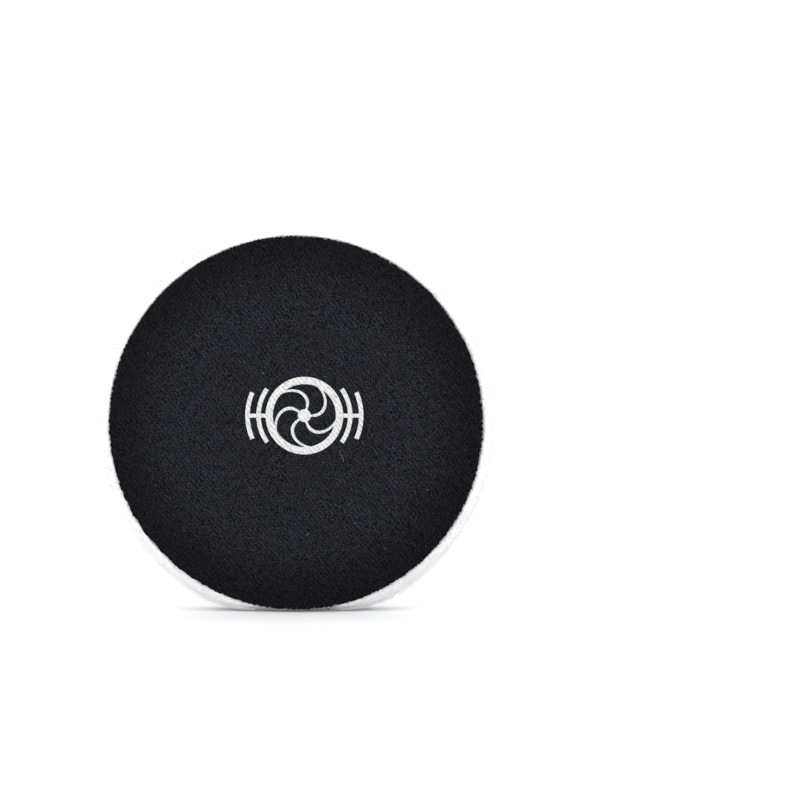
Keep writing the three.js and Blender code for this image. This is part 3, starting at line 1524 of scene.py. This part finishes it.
    def make_rim_thread(self) -> bpy.types.Object:
        """Makes the one curled thread end that has worked loose at the foot of the cut edge.

        Returns:
            The thread.
        """
        share = np.linspace(0, 1, 24)
        turn = self.thread_angle + 0.040 * (share + 0.08 * np.sin(2 * math.pi * share))
        drop = 1.35 * np.sin(math.pi * share) ** 0.6 - 0.3 * np.sin(3 * math.pi * share)
        line = self.pad.on_circle(self.pad.backing_radius + (drop - 0.5) * MM, turn)
        line[:, 1] = self.pad.loop_back_rim - self.thickness * (0.9 + 0.5 * np.sin(math.pi * share))
        return self.thread("edge_thread", line, self.thread_width)

    def make_curl(self) -> bpy.types.Object:
        """Makes the small curl of wool that has caught on the cut edge beside that thread.

        Returns:
            The curl.
        """
        share = np.linspace(0, 1, 20)
        radius = self.pad.backing_radius + (0.15 - 0.45 * np.sin(math.pi * share)) * MM
        line = self.pad.on_circle(radius, self.curl_angle + 0.030 * share)
        line[:, 1] = self.front(line) - self.curl_width
        return self.thread("edge_curl", line, self.curl_width)

    def build(self, frame: Mapping[str, Any]) -> list[bpy.types.Object]:
        """Makes and dresses everything on the loop side.


        Returns:
            The pieces.
        """
        wisp = Wisp()
        cloth = self.make_cloth()
        dress(cloth, self.finish.material(self.pad, self.rib_angle), "loop_fabric")
        sign = self.make_sign()
        dress(sign, InkFinish().material(self.pad, self.rib_angle), "printed_mark")
        black = StrandFinish(
            "black_nylon_fibre", (0.006, 0.006, 0.008), (0.018, 0.019, 0.024), (0.024, 0.025, 0.031),
            tints=0.5).material()
        fibres = [self.make_loops(cloth, wisp), self.make_frays(wisp), self.make_rim_thread()]
        for piece in fibres:
            dress(piece, black)
        white = StrandFinish(
            "white_lint", (0.20, 0.20, 0.21), (0.42, 0.43, 0.44), (0.30, 0.29, 0.28), tints=0.4,
        ).material()
        lint = [self.make_dust(wisp), self.make_hair(), self.make_curl()]
        for piece in lint:
            piece.data.materials.append(white)
        return [cloth, sign, *fibres, *lint]


# ----------------------------------------------------------- the inner layers


@dataclass
class InnerLayers:
    """The foam, the knitted base cloth and the two glue lines between the layers."""

    pad: PadSizes
    segments: int = 192
    rings: int = 9
    recess: float = 0.6 * MM  # how far their cut edges lie inside the loop cloth's

    def disc(self, node: bpy.types.Object, name: str, side_bow: float) -> bpy.types.Object:
        """Turns a layer of the laminate between the faces that the frame gives it.

        Args:
            node: the frame's solid that it stands for.
            name: the piece's name.
            side_bow: how far its cut side is drawn in at half its depth.

        Returns:
            The new object.
        """
        front, back = self.faces_of(node)
        radius = self.pad.backing_radius - self.recess
        radii = np.concatenate([[0.0], np.linspace(self.pad.flat_radius, radius, self.rings)])
        outer = [self.face(radii, *front), self.face(radii, *back)[::-1]]
        middle = (outer[0][-1] + outer[1][0]) / 2
        middle[0] -= side_bow
        section = np.vstack([outer[0], middle[None], outer[1]])
        obj = turned(name, section, self.segments, self.pad)
        shade_smooth(obj)
        return obj

    def faces_of(self, node: bpy.types.Object) -> tuple[tuple[float, float], ...]:
        """Y on the axis and the roll of a frame solid's front and back.

        Args:
            node: the frame's solid.

        Returns:
            Y and the roll in front, and the same behind.
        """
        co = points_of(node)
        radius = self.pad.radius_of(co)
        middle, rim = co[radius < 1 * MM, 1], co[radius > self.pad.backing_radius - MM, 1]
        return (middle.min(), rim.min() - middle.min()), (middle.max(), rim.max() - middle.max())

    def face(self, radii: np.ndarray, y: float, roll: float) -> Points:
        """Radius and Y along one face."""
        return np.column_stack([radii, y + self.pad.rolled(radii, roll)])

    def build(self, frame: Mapping[str, Any]) -> list[bpy.types.Object]:
        """Makes and dresses the foam and the base cloth, and remakes the glue films.


        Returns:
            The pieces.
        """
        nodes = frame["nodes"]
        foam = self.disc(nodes["foam_core"], "foam_disc", 0.5 * MM)
        dress(foam, FoamFinish().material(self.pad), "foam_core")
        knit = self.disc(nodes["wool_base_cloth"], "knitted_base", 0.1 * MM)
        dress(knit, KnitFinish().material(self.pad), "wool_base_cloth")
        glue = GlueFinish().material(self.pad)
        pieces = [foam, knit]
        for node, name in (("loop_bond_film", "front_glue_film"), ("wool_bond_film", "rear_glue_film")):
            film = self.disc(nodes[node], name, 0.0)
            dress(film, glue, node)
            pieces.append(film)
        return pieces


# ------------------------------------------------------------------- the wool


@dataclass
class WoolPile:
    """The white wool: a dense underlayer, tufts all over it and loose hairs at the rim."""

    pad: PadSizes
    voxel: float = 0.95 * MM
    under_face: float = 1.7 * MM  # how far the underlayer lies below the frame's wool face
    under_rim: float = 2.9 * MM  # and how far inside its rim
    tuft_pitch: float = 2.3 * MM
    foot_lift: float = 1.3 * MM  # how far the rim rises from the floor beside the foot
    foot_height: float = 2.6 * MM  # up to where the weight presses the wool under the cloth
    face_wisps: int = 76000
    rim_wisps: int = 42000
    loose_hairs: int = 18000
    floor_hairs: int = 2600
    wisps_per_piece: int = 19000
    segments: int = 160
    lap: float = 0.9 * MM  # how far from the cloth's edge the wool starts to show
    crushed: float = 0.6 * MM  # the height under which the floor presses it flat
    drawn_in: float = 2.8 * MM  # how far the foot's front goes in under the cloth
    foot_half: float = 12 * MM  # half the width of the part that is fully pressed
    tuft_rise: float = 0.20 * MM
    drift_rise: float = 0.05 * MM
    tuft_tip: float = 1.6 * MM  # how far above the underlayer a tuft's wisps meet
    root_depth: float = 0.7 * MM
    rim_inset: float = 12 * MM  # how far inside the outline the rim's wisps take over
    rim_blend: float = 5 * MM
    comb_angle: float = math.radians(130)
    hair_length: tuple[float, float] = (2.0, 4.2)  # this and the next three in millimetres
    hair_width: tuple[float, float] = (0.05, 0.10)
    floor_hair_length: tuple[float, float] = (1.4, 3.2)
    floor_hair_width: tuple[float, float] = (0.07, 0.14)

    def section(self, knit: bpy.types.Object) -> Points:
        """Radius and Y round the underlayer, from the axis at the base cloth to the wool face.

        Args:
            knit: the frame's base cloth.

        Returns:
            The section's points.
        """
        pad = self.pad
        inner = pad.backing_radius + 0.3 * MM
        on_knit = points_of(knit)
        base = on_knit[pad.radius_of(on_knit) < MM, 1].max()
        radii = np.linspace(pad.flat_radius, pad.backing_radius, 6)
        drop = pad.rolled(radii, on_knit[:, 1].max() - base)
        start = np.column_stack([
            np.concatenate([[0.0], radii]), np.concatenate([[base], base + drop])])
        widest, outer = 1.0 * MM, pad.pile_radius - self.under_rim
        lip = pad.lip_front + 0.7 * MM
        face, shoulder = pad.wool_face - self.under_face, pad.pile_radius - 15 * MM
        down = np.linspace(-math.pi / 2, 0, 9)
        up = np.linspace(0, math.pi / 2, 12)[1:]
        forward = np.column_stack([
            inner + (outer - inner) * np.cos(down), widest + (widest - lip) * np.sin(down)])
        back = np.column_stack([
            shoulder + (outer - shoulder) * np.cos(up), widest + (face - widest) * np.sin(up)])
        return np.vstack([start, [[inner, start[-1, 1]]], forward, back, [[0.0, face]]])

    def shown(self, middle: Points, normal: Points) -> np.ndarray:
        """1 where the underlayer can be seen, and 0 inside the laminate or on the foot.

        Args:
            middle: the faces' middles.
            normal: their normals.

        Returns:
            The share that shows, for each point.
        """
        radius = self.pad.radius_of(middle)
        outside = (radius > self.pad.backing_radius + self.lap) | (middle[:, 1] > 6 * MM)
        return (outside & (middle[:, 2] > 0.4 * MM)).astype(float)

    def pressed(self, points: Points) -> Points:
        """Presses points flat on the floor, and draws the foot in under the cloth.

        Args:
            points: the points.

        Returns:
            The moved points.
        """
        low = self.crushed
        depth = np.clip(low - points[:, 2], 0, None)
        moved = points.copy()
        moved[:, 2] = np.where(depth > 0, low * np.exp(-depth / low), points[:, 2])
        in_front = 1 - eased(points[:, 1], self.pad.lip_front, 4 * MM)
        moved[:, 1] += self.drawn_in * self.under_cloth(points) * in_front
        aside = eased(np.abs(points[:, 0]), self.foot_half, 36 * MM)
        aside *= 1 - eased(points[:, 1], 3 * MM, 16 * MM)
        moved[:, 2] += self.foot_lift * aside * (1 - eased(points[:, 2], 0.0, 5 * MM))
        behind = eased(points[:, 1], 4 * MM, self.pad.wool_face)
        moved[:, 1] += 0.12 * depth * behind
        return moved

    def under_cloth(self, points: Points) -> np.ndarray:
        """1 at the foot right below the cloth's lowest edge, and 0 well beside or above it."""
        low = 1 - eased(points[:, 2], 0.3 * self.foot_height, self.foot_height)
        return low * (1 - eased(np.abs(points[:, 0]), self.foot_half, 27 * MM))

    def make_ground(self, knit: bpy.types.Object) -> bpy.types.Object:
        """Makes the underlayer, smooth and evenly meshed.

        Args:
            knit: the frame's base cloth.

        Returns:
            The underlayer.
        """
        obj = turned("wool_ground", self.section(knit), self.segments, self.pad)
        apply_modifier(obj, "REMESH", mode="VOXEL", voxel_size=self.voxel, adaptivity=0.0)
        return obj

    def tuft_centres(self, ground: bpy.types.Object, rng: np.random.Generator) -> Points:
        """Centres of tufts, spread evenly over what shows of the underlayer.

        Args:
            ground: the underlayer.
            rng: where the chance comes from.

        Returns:
            The centres.
        """
        area = math.pi * self.pad.pile_radius**2 + 4 * math.pi * self.pad.pile_radius * 8 * MM
        count = int(3 * area / self.tuft_pitch**2)
        centres, _ = evenly_on(ground, count, rng, self.shown)
        tree = tree_of(centres)
        kept = np.ones(len(centres), bool)
        for i, centre in enumerate(centres):
            if kept[i]:
                for _, j, _ in tree.find_range(centre, 0.62 * self.tuft_pitch):
                    if j > i:
                        kept[j] = False
        return centres[kept]

    def lump(self, ground: bpy.types.Object, tufts: Points) -> None:
        """Raises the underlayer at each tuft and presses its foot flat.

        Args:
            ground: the underlayer.
            tufts: the tufts' centres.
        """
        points, normal = points_of(ground), read_points(ground.data.vertices, "normal")
        _, gap = nearest(points, tufts)
        height = 1 - eased(gap, 0.0, 0.75 * self.tuft_pitch)
        drift = Ripple(9 * MM, 51)(points)
        seen = self.shown(points, normal)
        rise = seen * (self.tuft_rise * (height - 0.5) + self.drift_rise * drift)
        move_points(ground, self.pressed(points + rise[:, None] * normal))
        in_front = 1 - eased(points[:, 1], 3 * MM, 7 * MM)
        # the tuft mask also sets the painted shade between tufts
        store(ground, "tuft", np.where(seen > 0, height, 0.5))
        # the mask of the painted shade at the foot
        store(ground, "foot", self.under_cloth(points) * in_front)
        shade_smooth(ground)

    def combing(self, points: Points) -> Points:
        """The direction in which the wool face is combed at each point.

        Args:
            points: the points.

        Returns:
            A direction for each point.
        """
        turn = 0.40 * Ripple(45 * MM, 61)(points) + 0.28 * Ripple(12 * MM, 62)(points)
        angle = self.comb_angle + turn
        return np.column_stack([np.cos(angle), np.zeros(len(points)), np.sin(angle)])

    def outward(self, points: Points) -> Points:
        """Away from the pad's axis."""
        return unit((points - np.array(self.pad.centre)) * np.array([1.0, 0.0, 1.0]))

    def wisps(
        self, ground: bpy.types.Object, tufts: Points, count: int, seed: int, where: Grown,
    ) -> Strands:
        """Grows wisps from the underlayer, each drawn towards the tip of its tuft.

        Args:
            ground: the underlayer.
            tufts: the tufts' centres.
            count: how many wisps.
            seed: the seed of their chance.
            where: whether they grow on the rounded rim or on the working face.

        Returns:
            The wisps.
        """
        rng = np.random.default_rng(seed)
        kind = where.value
        edge = self.pad.pile_radius - self.rim_inset

        def here(middle: Points, normal: Points) -> np.ndarray:
            """The rim or the face, without the part that is crushed under the cloth.

            Args:
                middle: the faces' middles.
                normal: their normals.

            Returns:
                A weight for each face.
            """
            beyond = eased(self.pad.radius_of(middle), edge - self.rim_blend, edge + self.rim_blend)
            bare = (self.under_cloth(middle) > 0.4) & (middle[:, 1] < 4 * MM)
            return self.shown(middle, normal) * ~bare * (beyond if where is Grown.RIM else 1 - beyond)

        root, normal = evenly_on(ground, count, rng, here)
        which, _ = nearest(root, tufts)
        flow = unit(along_surface(self.combing(tufts[which]), normal))
        chance = along_surface(rng.normal(size=root.shape), normal)
        lean = rng.uniform(*kind.lean, (count, 1))
        growth = unit(normal + lean * unit(1.0 * flow + 0.6 * chance) + kind.splay * self.outward(root))
        length = rng.uniform(*kind.length, count)
        to_tip = tufts[which] + self.tuft_tip * normal - root
        drawn = kind.gather * to_tip / (length[:, None] * MM)
        down = -kind.droop * normal * rng.uniform(0.4, 1.2, (count, 1))
        return Strands(
            root=root - self.root_depth * normal,
            growth=growth,
            sag=drawn + down,
            outward=normal,
            length=length * MM,
            width=rng.uniform(*kind.width, count) * MM,
        )

    def hairs(self, ground: bpy.types.Object) -> Strands:
        """Grows the thin loose hairs that make the outline soft, most of them on the rim.

        Args:
            ground: the underlayer.

        Returns:
            The hairs.
        """
        rng = np.random.default_rng(Seed.HAIRS)

        def mostly_rim(middle: Points, normal: Points) -> np.ndarray:
            """All that shows, the rim far more than the face."""
            beyond = eased(self.pad.radius_of(middle), 60 * MM, self.pad.pile_radius - 4 * MM)
            return self.shown(middle, normal) * (0.15 + beyond)

        count = self.loose_hairs
        root, normal = evenly_on(ground, count, rng, mostly_rim)
        chance = rng.normal(size=root.shape)
        return Strands(
            root=root,
            growth=unit(normal + 0.5 * chance),
            sag=0.4 * rng.normal(size=root.shape),
            outward=unit(chance),
            length=rng.uniform(*self.hair_length, count) * MM,
            width=rng.uniform(*self.hair_width, count) * MM,
        )

    def skirt(self, ground: bpy.types.Object) -> Strands:
        """Grows the short hairs that lie on the floor in front of the foot.

        Args:
            ground: the underlayer.

        Returns:
            The hairs.
        """
        rng = np.random.default_rng(Seed.FLOOR_HAIRS)

        def front_of_foot(middle: Points, normal: Points) -> np.ndarray:
            """The lowest part of the lip, beside the crushed middle."""
            low = (middle[:, 2] < 2.0 * MM) & (middle[:, 1] < 4 * MM)
            return low * eased(np.abs(middle[:, 0]), 11 * MM, 20 * MM)

        count = self.floor_hairs
        root, _ = evenly_on(ground, count, rng, front_of_foot)
        sideways = rng.normal(0, 0.6, count)
        growth = np.column_stack([sideways, -np.ones(count), rng.uniform(-0.1, 0.6, count)])
        return Strands(
            root=root,
            growth=unit(growth),
            sag=np.column_stack([0.5 * sideways, np.zeros(count), -rng.uniform(0.2, 0.7, count)]),
            outward=np.tile([0.0, 0.0, 1.0], (count, 1)),
            length=rng.uniform(*self.floor_hair_length, count) * MM,
            width=rng.uniform(*self.floor_hair_width, count) * MM,
        )

    def held_in(self, points: Points) -> Points:
        """Keeps fibres above the floor, off the loop cloth and inside the pile's outline.

        Args:
            points: the points.

        Returns:
            The moved points.
        """
        pad = self.pad
        moved = self.pressed(points)
        radius = pad.radius_of(points)
        close = (radius < pad.backing_radius + 0.45 * MM) & (points[:, 1] < 0)
        behind = pad.loop_back_rim + 0.15 * MM
        front = np.where(close, np.maximum(moved[:, 1], behind), moved[:, 1])
        moved[:, 1] = np.clip(front, pad.lip_front - 1.2 * MM, pad.wool_face + 0.9 * MM)
        over = np.clip(radius - (pad.pile_radius - 0.6 * MM), 0, None)
        shrink = (radius - 0.5 * over) / radius
        moved[:, 0] *= shrink
        moved[:, 2] = pad.axis_height + (moved[:, 2] - pad.axis_height) * shrink
        floor = 0.35 * MM
        squeezed = 0.05 * MM + 0.3 * MM * np.exp((moved[:, 2] - floor) / MM)
        moved[:, 2] = np.where(moved[:, 2] < floor, squeezed, moved[:, 2])
        return moved

    def chart(self, strands: Strands, wisp: Wisp, rng: np.random.Generator) -> Points:
        """Places fibres on the colour map, cool and warm ones in soft patches.

        Args:
            strands: the fibres.
            wisp: the wisp that is copied.
            rng: where the chance comes from.

        Returns:
            The chart.
        """
        patch = 0.5 + 0.5 * np.clip(Ripple(11 * MM, 91)(strands.root), -1, 1)
        share = np.clip(0.55 * patch + 0.45 * rng.random(len(strands)), 0, 0.999)
        return wisp.chart((share * StrandFinish.columns).astype(int))

    def pieces_of(self, name: str, strands: Strands, wisp: Wisp, seed: int) -> list[bpy.types.Object]:
        """Turns fibres into meshes of a size that keeps every face, mixed all over the pad.

        Args:
            name: the piece's name.
            strands: the fibres.
            wisp: the wisp that is copied.
            seed: the seed of their chance.

        Returns:
            The pieces.
        """
        rng = np.random.default_rng(seed)
        made = []
        parts = max(1, math.ceil(len(strands) / self.wisps_per_piece))
        for i in range(parts):
            batch = strands.part(np.arange(i, len(strands), parts))
            points, faces = wisp.along(batch)
            chart = self.chart(batch, wisp, rng)
            made.append(many_copies(f"{name}_{i + 1}", self.held_in(points), faces, chart))
        return made

    def build(self, frame: Mapping[str, Any]) -> list[bpy.types.Object]:
        """Makes and dresses the underlayer, the tufts and the loose hairs.


        Returns:
            The pieces.
        """
        rng = np.random.default_rng(Seed.TUFTS)
        ground = self.make_ground(frame["nodes"]["wool_base_cloth"])
        tufts = self.tuft_centres(ground, rng)
        face = self.wisps(ground, tufts, self.face_wisps, Seed.FACE_WISPS, Grown.FACE)
        rim = self.wisps(ground, tufts, self.rim_wisps, Seed.RIM_WISPS, Grown.RIM)
        loose = self.hairs(ground)
        skirt = self.skirt(ground)
        self.lump(ground, tufts)
        dress(ground, WoolGroundFinish().material(self.pad), "wool_pile")
        wisp = Wisp()
        face_wool = StrandFinish(
            "wool_face_fibre", (0.72, 0.69, 0.675), (0.80, 0.79, 0.79), (0.82, 0.78, 0.755),
            tints=0.07, through=0.25).material()
        # painted highlight: the rim's wool and the loose hairs get a whiter colour than the same wool on
        # the face, standing in for the bright backlit fringe
        rim_wool_highlight = StrandFinish(
            "wool_rim_fibre_highlight", (0.90, 0.90, 0.90), (0.96, 0.95, 0.975), (0.965, 0.945, 0.945),
            tints=0.02, through=0.5).material()
        batches = (
            ("wool_face_tufts", face, face_wool),
            ("wool_rim_tufts", rim, rim_wool_highlight),
            ("wool_loose_hairs", loose, rim_wool_highlight),
            ("wool_floor_hairs", skirt, rim_wool_highlight),
        )
        pieces = [ground]
        for seed, (name, strands, wool) in enumerate(batches, start=94):
            for piece in self.pieces_of(name, strands, wisp, seed):
                dress(piece, wool)
                pieces.append(piece)
        return pieces


# ----------------------------------------------------------------- the studio


@dataclass
class Studio:
    """The camera, a white table and soft light from all round."""

    pad: PadSizes
    distance: float = 0.85
    elevation: float = math.radians(2.0)
    disc_share: float = 186.9 / 800  # the loop disc's radius as a share of the frame's width
    disc_right: float = -104.13 / 800  # where the disc's middle lies in the frame
    disc_up: float = -23.45 / 800
    sensor: float = 36.0
    table: float = 12.0
    world: float = 1.1  # how bright the white surroundings are
    lights: tuple[tuple[str, Colour, float, float], ...] = (
        ("left", (-0.9, -0.8, 0.14), 60, 2.9),
        ("right", (0.9, -0.8, 0.14), 60, 2.7),
        ("top", (0.05, 0.15, 1.0), 80, 1.05),
    )

    def make_camera(self) -> bpy.types.Object:
        """Makes a camera that looks along +Y and a little down, past the side of the pad.

        Returns:
            The camera.
        """
        data = bpy.data.cameras.new("camera")
        camera = placed("camera", data)
        width = self.pad.backing_radius / self.disc_share
        data.sensor_width = self.sensor
        data.lens = self.sensor * self.distance / width
        sin, cos = math.sin(self.elevation), math.cos(self.elevation)
        ahead, up = Vector((0, cos, -sin)), Vector((0, sin, cos))
        disc = Vector((0, self.pad.loop_back_rim - 1.2 * MM, self.pad.axis_height))
        aside = self.disc_right * width * Vector((1, 0, 0)) + self.disc_up * width * up
        camera.location = disc - self.distance * ahead - aside
        camera.rotation_euler = (math.pi / 2 - self.elevation, 0, 0)
        bpy.context.scene.camera = camera
        return camera

    def make_light(self, name: str, towards: Colour, spread: float, strength: float) -> None:
        """Makes one very soft light that falls evenly on everything.

        Args:
            name: the light's name.
            towards: the direction from the pad to the light.
            spread: the light's angle in degrees.
            strength: its strength.
        """
        data = bpy.data.lights.new(name, "SUN")
        data.angle = math.radians(spread)
        data.energy = strength
        light = placed(name, data)
        light.location = Vector(towards)
        light.rotation_euler = (-Vector(towards)).to_track_quat("-Z", "Y").to_euler()

    def make_table(self) -> bpy.types.Object:
        """Makes the table top, which runs out past everything in view.

        Returns:
            The table.
        """
        deselect_all()
        bpy.ops.mesh.primitive_plane_add(size=self.table, location=(0, 0, 0))
        table = named("table_top")
        table.data.materials.append(FloorFinish().material())
        return table

    def build(self) -> None:
        """Makes the camera, table, lights and white surroundings."""
        self.make_camera()
        self.make_table()
        for light in self.lights:
            self.make_light(*light)
        world = bpy.data.worlds.new("white_room")
        world.use_nodes = True
        white = world.node_tree.nodes["Background"]
        white.inputs["Color"].default_value = (1, 1, 1, 1)
        white.inputs["Strength"].default_value = self.world
        bpy.context.scene.world = world
        bpy.context.scene.view_settings.view_transform = "Standard"


def main() -> None:
    """Builds the pad's looks around the frame, then the studio."""
    logging.basicConfig(level=logging.INFO, format="%(message)s")
    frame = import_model()
    pad = PadSizes.from_frame()
    for layer in (LoopSide(pad), InnerLayers(pad), WoolPile(pad)):
        for piece in layer.build(frame):
            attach(piece, BODY)
            LOG.info("%s: %s with %d faces", type(layer).__name__, piece.name, len(piece.data.polygons))
    Studio(pad).build()


if __name__ == "__main__":
    main()
